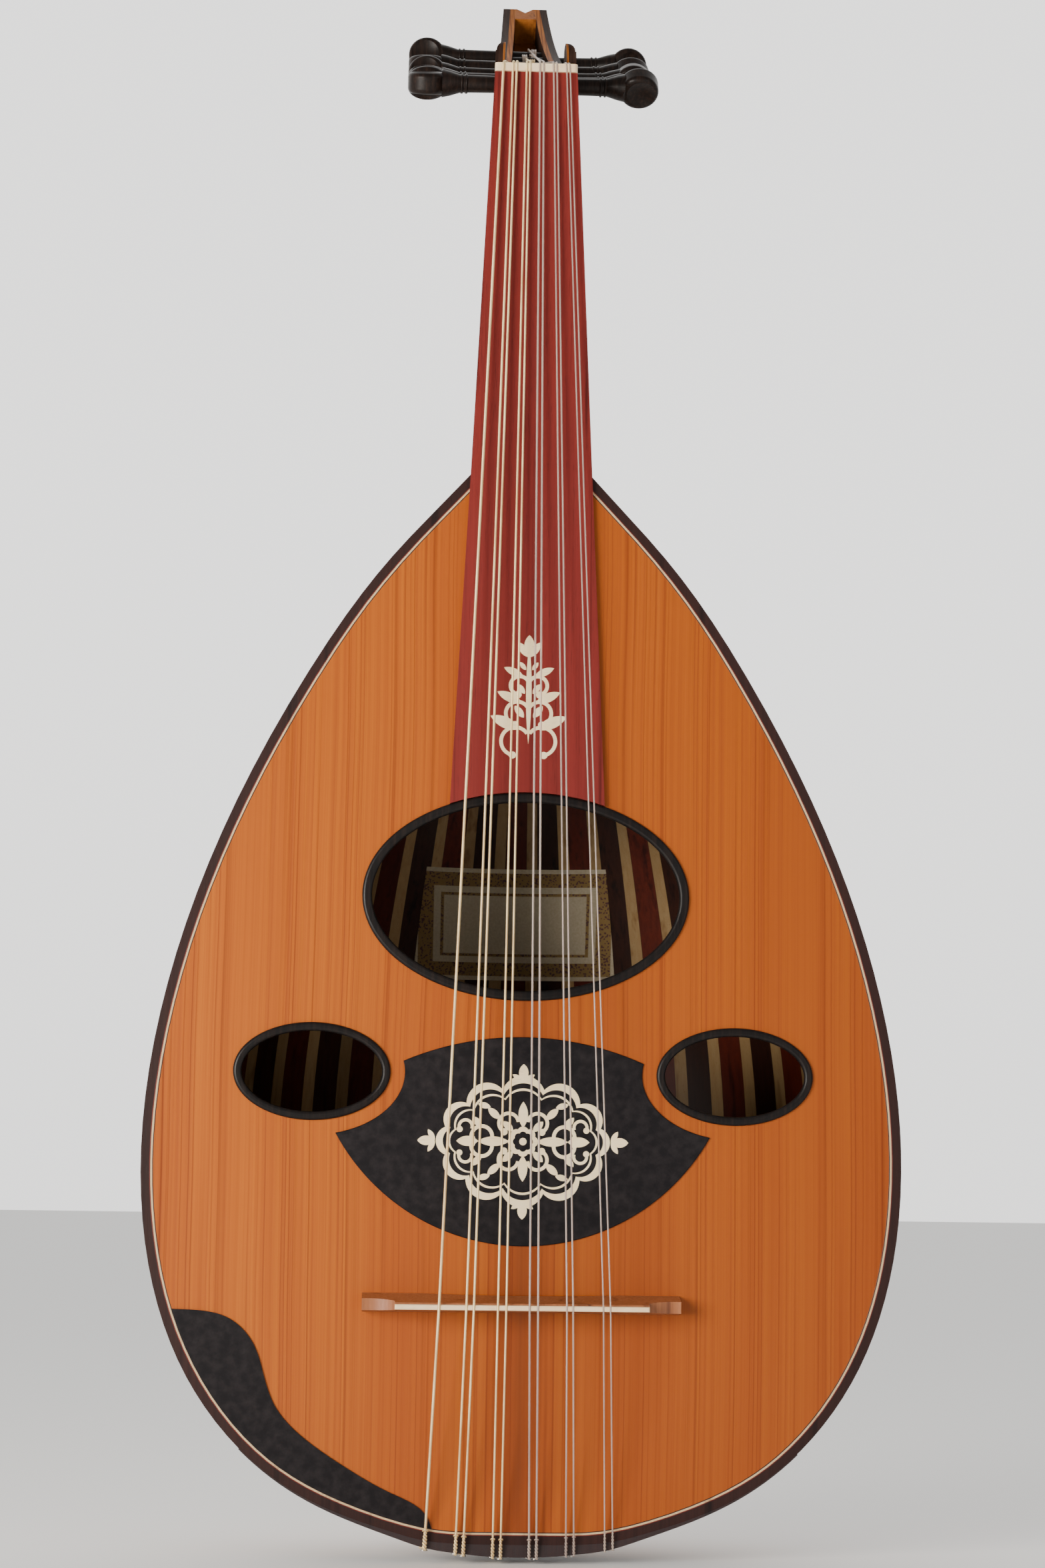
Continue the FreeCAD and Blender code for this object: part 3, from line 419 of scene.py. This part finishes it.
def bone(name, pale, warm):
    """Bone or cream inlay: slightly cloudy, with faint fibres across the instrument."""
    paint = Shader(name, roughness=0.35, subsurface_weight=0.15, coat_weight=0.2, coat_roughness=0.2)
    paint.set("Subsurface Radius", (0.6 * MM, 0.4 * MM, 0.25 * MM))
    cloud = paint.noise(paint.place, 90.0, 4.0, 0.6)
    fibre = paint.noise(paint.scaled(paint.place, (180, 1500, 1500)), 1.0, 3.0, 0.5)
    colour = paint.mix(paint.ramp(cloud, (0.35, 0.0), (0.70, 1.0)), pale, warm)
    colour = paint.mix(paint.ramp(fibre, (0.60, 0.0), (0.72, 0.35)), colour, (0.50, 0.36, 0.20))
    paint.to(colour, "Base Color")
    paint.bump(fibre, 0.06, 0.0002)
    return paint.material


def wound_string():
    """Wire wound round a core: fine rings along the string, warm silver."""
    paint = Shader("wound_string", roughness=0.34, metallic=0.55)
    _, y, z = paint.parts()
    pitch = 0.35 * MM
    wave = paint.calc("SINE", paint.calc("MULTIPLY", paint.calc("ADD", z, y), 2 * math.pi / pitch))
    age = paint.noise(paint.place, 40.0, 3.0)
    colour = paint.mix(paint.ramp(age, (0.4, 0.0), (0.7, 1.0)), (0.95, 0.76, 0.42), (0.74, 0.50, 0.24))
    paint.to(colour, "Base Color")
    paint.bump(wave, 0.35, 0.00006)
    return paint.material


def nylon_string():
    """Clear nylon, with a slight grey-pink cast."""
    paint = Shader("nylon_string", roughness=0.22, transmission_weight=0.6)
    paint.set("IOR", 1.53)
    cloud = paint.noise(paint.scaled(paint.place, (60, 60, 9)), 1.0, 2.0)
    colour = paint.mix(paint.ramp(cloud, (0.4, 0.0), (0.7, 1.0)), (0.80, 0.66, 0.56), (0.66, 0.52, 0.46))
    paint.to(colour, "Base Color")
    return paint.material


def label_paper(lo, hi):
    """Cream paper with a plain double gold frame and a faint leaf-like band, no lettering."""
    paint = Shader("label_paper", roughness=0.75)
    x, _, z = paint.parts()
    middle = (lo + hi) / 2
    half = (hi - lo) / 2
    out_x = paint.calc("DIVIDE", paint.calc("ABSOLUTE", paint.calc("SUBTRACT", x, middle.x)), half.x)
    out_z = paint.calc("DIVIDE", paint.calc("ABSOLUTE", paint.calc("SUBTRACT", z, middle.z)), half.z)
    edge = paint.calc("MAXIMUM", out_x, paint.calc("ADD", paint.calc("MULTIPLY", out_z, 0.62), 0.38))
    fleck = paint.noise(paint.place, 900.0, 3.0)
    paper = paint.mix(paint.ramp(fleck, (0.3, 0.0), (0.7, 1.0)), (0.50, 0.43, 0.30), (0.42, 0.35, 0.23))
    frames = paint.ramp(edge, (0.70, 0.0), (0.705, 1.0), (0.73, 1.0), (0.735, 0.0),
                        (0.80, 0.0), (0.805, 1.0), (0.95, 1.0), (0.955, 0.0))
    band = paint.add("ShaderNodeTexVoronoi", feature="SMOOTH_F1")
    paint.join(paint.scaled(paint.place, (170, 170, 170)), band.inputs["Vector"])
    leafy = paint.ramp(band.outputs["Distance"], (0.30, 1.0), (0.36, 0.15))
    gold = paint.mix(leafy, (0.26, 0.16, 0.045), (0.09, 0.035, 0.03))
    paint.to(paint.mix(frames, paper, gold), "Base Color")
    return paint.material


def cheek_wood():
    """Dark veneer on the pegbox's outer sides, orange-brown wood with thin lines on its open edge. Distances
    across are in mm."""
    paint = Shader("pegbox_cheek", roughness=0.5, specular_ior_level=0.03)
    normal = paint.add("ShaderNodeNewGeometry").outputs["True Normal"]
    side = paint.calc("ABSOLUTE", paint.parts(normal)[0])
    x, y, z = paint.parts()
    away = paint.calc("MULTIPLY", paint.calc("ABSOLUTE", x), PER_METRE)
    lines = paint.noise(paint.scaled(paint.place, (900, 30, 60)), 1.0, 4.0, 0.6)
    edge = paint.ramp(lines, (0.35, (0.24, 0.070, 0.012)), (0.65, (0.40, 0.140, 0.030)))
    bands = paint.calc("SINE", paint.calc("MULTIPLY", away, 3.4))
    edge = paint.mix(paint.ramp(bands, (0.55, 0.0), (0.90, 0.7)), edge, (0.075, 0.022, 0.008))
    veneer = paint.ramp(lines, (0.35, (0.018, 0.010, 0.008)), (0.65, (0.040, 0.021, 0.015)))
    along = paint.calc("ADD", paint.calc("MULTIPLY", y, PEGBOX_ALONG_Y),
                       paint.calc("MULTIPLY", z, PEGBOX_ALONG_Z))
    share = paint.calc("DIVIDE", along, PEGBOX_LENGTH)
    outside = paint.calc("SUBTRACT", CHEEK_FACE_AT_NUT, paint.calc("MULTIPLY", share, CHEEK_TAPER))
    outer = paint.calc("SUBTRACT", away, paint.calc("SUBTRACT", outside, VENEER_EDGE))
    edge = paint.mix(paint.ramp(outer, (0.0, 0.0), (0.25, 1.0)), edge, veneer)
    paint.to(paint.mix(paint.ramp(side, (0.80, 0.0), (0.90, 1.0)), edge, veneer), "Base Color")
    paint.bump(lines, 0.1, 0.0003)
    return paint.material


def steel():
    """Bare steel with small scuffs, for the hitch pins."""
    paint = Shader("steel_pin", roughness=0.3, metallic=1.0)
    scuff = paint.noise(paint.place, 1500.0, 3.0)
    paint.to(paint.mix(scuff, (0.60, 0.58, 0.55), (0.45, 0.43, 0.40)), "Base Color")
    return paint.material


# ---------------------------------------------------------------- painting the carried-over parts


def finishes():
    """Which material goes on which carried-over node. Pegs, strings and coils are painted in paint_all."""
    ebony = black_wood("ebony", (0.007, 0.006, 0.006), (0.018, 0.012, 0.010), 0.34, 0.02)
    cream = bone("cream_inlay", (0.98, 0.82, 0.52), (0.95, 0.74, 0.42))
    white_bone = bone("bone", (0.90, 0.72, 0.48), (0.86, 0.62, 0.36))
    walnut = wood("walnut", (0.105, 0.040, 0.018), (0.070, 0.025, 0.012), (0.028, 0.010, 0.006),
                  fine=600, streaks=90)
    inner = wood("spruce_inside", (0.62, 0.45, 0.25), (0.52, 0.36, 0.19), (0.36, 0.22, 0.11),
                 fine=500, coat=0.0, roughness=0.6)
    plate = plate_black()
    return {
        "soundboard": board_wood(),
        "soundboard_braces": inner,
        "neck_block": inner,
        "tail_block": inner,
        "bowl_ribs_rosewood": rib_wood("rosewood", (0.075, 0.024, 0.014), (0.044, 0.014, 0.009),
                                       (0.016, 0.006, 0.005)),
        "bowl_ribs_padauk": rib_wood("padauk", (0.19, 0.031, 0.015), (0.13, 0.019, 0.010),
                                     (0.060, 0.009, 0.006)),
        "bowl_ribs_maple": rib_wood("maple", (0.66, 0.44, 0.21), (0.57, 0.35, 0.15), (0.42, 0.23, 0.09)),
        "rim_binding": wood("binding", (0.030, 0.011, 0.009), (0.019, 0.007, 0.006), (0.007, 0.003, 0.003),
                            fine=500, coat=0.02, shine=0.2),
        "purfling": wood("purfling", (0.60, 0.44, 0.25), (0.52, 0.36, 0.19), (0.34, 0.20, 0.10), fine=700),
        "end_clasp": wood("clasp", (0.024, 0.011, 0.011), (0.015, 0.007, 0.008), (0.007, 0.003, 0.004),
                          fine=500, shine=0.4, coat=0.12),
        "hitch_pins": steel(),
        "neck": walnut,
        "fingerboard": wood("fingerboard", (0.20, 0.022, 0.017), (0.145, 0.015, 0.012), (0.060, 0.005, 0.004),
                            fine=650, long=5, streaks=220, streak_level=0.57, roughness=0.44, shine=0.2,
                            coat=0.0),
        "fingerboard_inlay": cream,
        "nut": white_bone,
        "pegbox_left_cheek": cheek_wood(),
        "pegbox_right_cheek": cheek_wood(),
        "pegbox_back": wood("pegbox_back", (0.22, 0.068, 0.014), (0.16, 0.046, 0.010), (0.05, 0.016, 0.006),
                            fine=600, coat=0.0, shine=0.05),
        "pegbox_end_block": wood("pegbox_end", (0.34, 0.115, 0.024), (0.26, 0.080, 0.016),
                                 (0.09, 0.028, 0.008),
                                 fine=600, coat=0.0, shine=0.05),
        "main_soundhole_ring": ebony,
        "small_soundhole_rings": ebony,
        "pickguard": plate,
        "pickguard_inlay": cream,
        "forearm_guard": plate,
        "bridge_body": wood("bridge_wood", (0.34, 0.125, 0.048), (0.25, 0.085, 0.032), (0.10, 0.030, 0.013),
                            fine=800, roughness=0.45),
        "bridge_saddle": white_bone,
        "paper_label": label_paper(*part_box("paper_label")),
    }


def paint_node(name, material):
    slots = nodes[name].data.materials
    slots.clear()
    slots.append(material)


def paint_all():
    """Paints every carried-over node and returns the two strings' materials for the added pieces."""
    for name, material in finishes().items():
        paint_node(name, material)
    peg = black_wood("peg_wood", (0.008, 0.005, 0.004), (0.024, 0.013, 0.009), 0.36, 0.01)
    wound = wound_string()
    nylon = nylon_string()
    for number in range(1, STRING_COUNT + 1):
        string = wound if number <= WOUND_COUNT else nylon
        paint_node("tuning_peg_%02d" % number, peg)
        paint_node("string_%02d" % number, string)
        paint_node("string_coil_%02d" % number, string)
    return wound, nylon


# ---------------------------------------------------------------- pieces that the solids only stand in for


def add_piece(name, mesh, material, body):
    """A visible piece of its own that rides on a body."""
    piece = bpy.data.objects.new(name, mesh)
    bpy.context.scene.collection.objects.link(piece)
    mesh.materials.append(material)
    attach(piece, body)
    return piece


def tube_mesh(name, paths, sides=10):
    """Round tubes along lists of (point, radius), with closed ends, as one mesh."""
    shape = bmesh.new()
    for path in paths:
        rings = []
        across = None
        for i, (spot, radius) in enumerate(path):
            ahead = path[min(i + 1, len(path) - 1)][0] - path[max(i - 1, 0)][0]
            ahead.normalize()
            if across is None:
                across = ahead.orthogonal().normalized()
            across = (across - ahead * across.dot(ahead)).normalized()
            other = ahead.cross(across)
            ring = []
            for k in range(sides):
                angle = 2 * math.pi * k / sides
                outward = across * math.cos(angle) + other * math.sin(angle)
                ring.append(shape.verts.new(spot + outward * radius))
            rings.append(ring)
        for near, far in zip(rings, rings[1:]):
            for k in range(sides):
                shape.faces.new((near[k], near[(k + 1) % sides], far[(k + 1) % sides], far[k]))
        shape.faces.new(reversed(rings[0]))
        shape.faces.new(rings[-1])
    bmesh.ops.recalc_face_normals(shape, faces=shape.faces)
    mesh = bpy.data.meshes.new(name)
    shape.to_mesh(mesh)
    shape.free()
    for face in mesh.polygons:
        face.use_smooth = True
    return mesh


def coil_turns(number, material):
    """The string's turns on its peg, as a real helix that starts where the straight string ends."""
    node = "string_coil_%02d" % number
    low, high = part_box(node)
    gauge = (high.x - low.x) / COIL_TURNS
    middle = (low + high) / 2
    radius = (high.y - low.y) / 2 - gauge / 2
    end = string_end(number)
    side = 1 if middle.x > end.x else -1
    start = math.atan2(end.z - middle.z, end.y - middle.y)
    lead = math.hypot(end.z - middle.z, end.y - middle.y)
    first = low.x + gauge / 2 if side > 0 else high.x - gauge / 2
    path = []
    total = int(COIL_STEPS * (COIL_TURNS - COIL_WAIT))
    for i in range(total + 1):
        turn = i / COIL_STEPS
        ease = min(1.0, turn / COIL_EASE)
        ease = ease * ease * (3 - 2 * ease)
        x = end.x + (first - end.x) * ease + side * gauge * max(0.0, turn - COIL_WAIT)
        out = lead + (radius - lead) * ease
        angle = start - 2 * math.pi * turn
        spot = Vector((x, middle.y + out * math.cos(angle), middle.z + out * math.sin(angle)))
        path.append((spot, gauge / 2))
    tail = path[-1][0]
    path.append((tail + Vector((side * gauge * 0.4, 0, 0)) + (middle - tail) * 0.25, gauge / 2))
    name = "coil_turns_%02d" % number
    piece = add_piece(name, tube_mesh(name, [path]), material, "peg_%02d" % number)
    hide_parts(node)


def string_end(number):
    """The middle of the string's end face beside its peg: the points farthest back."""
    points = [v.co for v in nodes["string_%02d" % number].data.vertices if v.co.z > NUT_HEIGHT]
    back = max(point.y for point in points)
    ring = [point for point in points if point.y > back - STRING_END_REACH]
    return sum(ring, Vector()) / len(ring)


def string_spot(number, height, reach):
    """The middle of the string's points within a reach of a height."""
    points = [v.co for v in nodes["string_%02d" % number].data.vertices if abs(v.co.z - height) < reach]
    return sum(points, Vector()) / len(points)


def tail_twist(number, material):
    """Two strands twisted over the end of the string where it is tied at the rim."""
    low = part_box("string_%02d" % number)[0]
    foot = string_spot(number, low.z, FOOT_REACH)
    saddle_low, saddle_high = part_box("bridge_saddle")
    crest = string_spot(number, (saddle_low.z + saddle_high.z) / 2, CREST_REACH)
    coil_low, coil_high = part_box("string_coil_%02d" % number)
    radius = (coil_high.x - coil_low.x) / COIL_TURNS / 2
    start = Vector((foot.x, -radius, low.z + radius))
    along = (crest - start).normalized()
    across = Vector((1, 0, 0))
    out = Vector((0, -1, 0))
    strand = radius * 0.80
    paths = []
    for k in range(2):
        path = []
        for i in range(TWIST_STEPS + 1):
            t = i / TWIST_STEPS
            angle = math.pi * k + 2 * math.pi * TWIST_TURNS * t
            swell = math.sin(math.pi * min(1.0, 0.18 + t * 0.85)) ** 0.5
            middle = start + along * (TWIST_LENGTH * t) + out * radius * (0.2 + 1.1 * swell)
            spot = middle + (across * math.cos(angle) + out * math.sin(angle)) * radius * 0.95 * swell
            path.append((spot, strand * (0.75 + 0.25 * swell)))
        paths.append(path)
    knot = []
    for i in range(KNOT_STEPS + 1):
        angle = 2 * math.pi * i / KNOT_STEPS
        round_it = across * math.cos(angle) + out * math.sin(angle) * 1.1
        spot = start + along * (TWIST_LENGTH * 0.93) + round_it * radius * 1.7
        knot.append((spot + out * radius * 0.6 + along * radius * 0.8 * math.sin(angle), strand * 0.85))
    paths.append(knot)
    name = "tail_twist_%02d" % number
    add_piece(name, tube_mesh(name, paths, 8), material, "root")


def board_edge():
    """The soundboard's outer edge at its face, in order from one side of the neck to the other."""
    mesh = nodes["soundboard"].data
    flat = {}
    for face in mesh.polygons:
        if all(abs(mesh.vertices[i].co.y) < 1e-5 for i in face.vertices):
            for pair in face.edge_keys:
                flat[pair] = flat.get(pair, 0) + 1
    spots = {}
    for pair, uses in flat.items():
        if uses == 1:
            ends = [tuple(round(c * 1e6) for c in mesh.vertices[i].co) for i in pair]
            spots.setdefault(ends[0], set()).add(ends[1])
            spots.setdefault(ends[1], set()).add(ends[0])
    first = min(spots, key=lambda spot: spot[2])
    loop = [first]
    last = None
    while True:
        ahead = [spot for spot in spots[loop[-1]] if spot != last]
        last = loop[-1]
        if not ahead or ahead[0] == first:
            break
        loop.append(ahead[0])
    points = [Vector(spot) * 1e-6 for spot in loop]
    top = max(point.z for point in points)
    gap = max(i for i, point in enumerate(points) if point.z > top - 0.2 * MM)
    points = points[gap:] + points[:gap]
    points = [point for point in points if point.z < top - 0.05 * MM]
    if points[0].x > points[-1].x:
        points.reverse()
    return points


def edge_line(name, points, inner, outer, material, slot):
    """A thin raised line beside the soundboard's edge. Distances are outwards from that edge."""
    shape = bmesh.new()
    rows = []
    for i, point in enumerate(points):
        ahead = points[min(i + 1, len(points) - 1)] - points[max(i - 1, 0)]
        outward = Vector((ahead.z, 0, -ahead.x)).normalized()
        if outward.dot(point - BODY_MIDDLE) < 0:
            outward = -outward
        bevel = (outer - inner) * 0.2
        profile = ((inner, 0.0), (inner + bevel, LINE_TOP), (outer - bevel, LINE_TOP), (outer, 0.0))
        rows.append([shape.verts.new(point + outward * across + Vector((0, depth, 0)))
                     for across, depth in profile])
    for near, far in zip(rows, rows[1:]):
        for k in range(3):
            shape.faces.new((near[k], near[k + 1], far[k + 1], far[k]))
    bmesh.ops.recalc_face_normals(shape, faces=shape.faces)
    mesh = bpy.data.meshes.new(name)
    shape.to_mesh(mesh)
    shape.free()
    if mesh.polygons[1].normal.y > 0:
        mesh.flip_normals()
    add_piece(name, mesh, material, "root")


# ---------------------------------------------------------------- build

set_camera()
set_stage()
wound_material, nylon_material = paint_all()
for string_number in range(1, STRING_COUNT + 1):
    wound = string_number <= WOUND_COUNT
    string_material = wound_material if wound else nylon_material
    coil_turns(string_number, string_material)
    tail_twist(string_number, string_material)
edge_points = board_edge()
dark_line = wood("dark_line", (0.020, 0.009, 0.007), (0.013, 0.006, 0.005), (0.006, 0.003, 0.003))
red_line = wood("red_line", (0.16, 0.020, 0.014), (0.11, 0.013, 0.010), (0.05, 0.006, 0.005))
edge_line("purfling_dark_line", edge_points, *DARK_LINE, dark_line, "dark_binding")
edge_line("purfling_red_line", edge_points, *RED_LINE, red_line, "padauk")
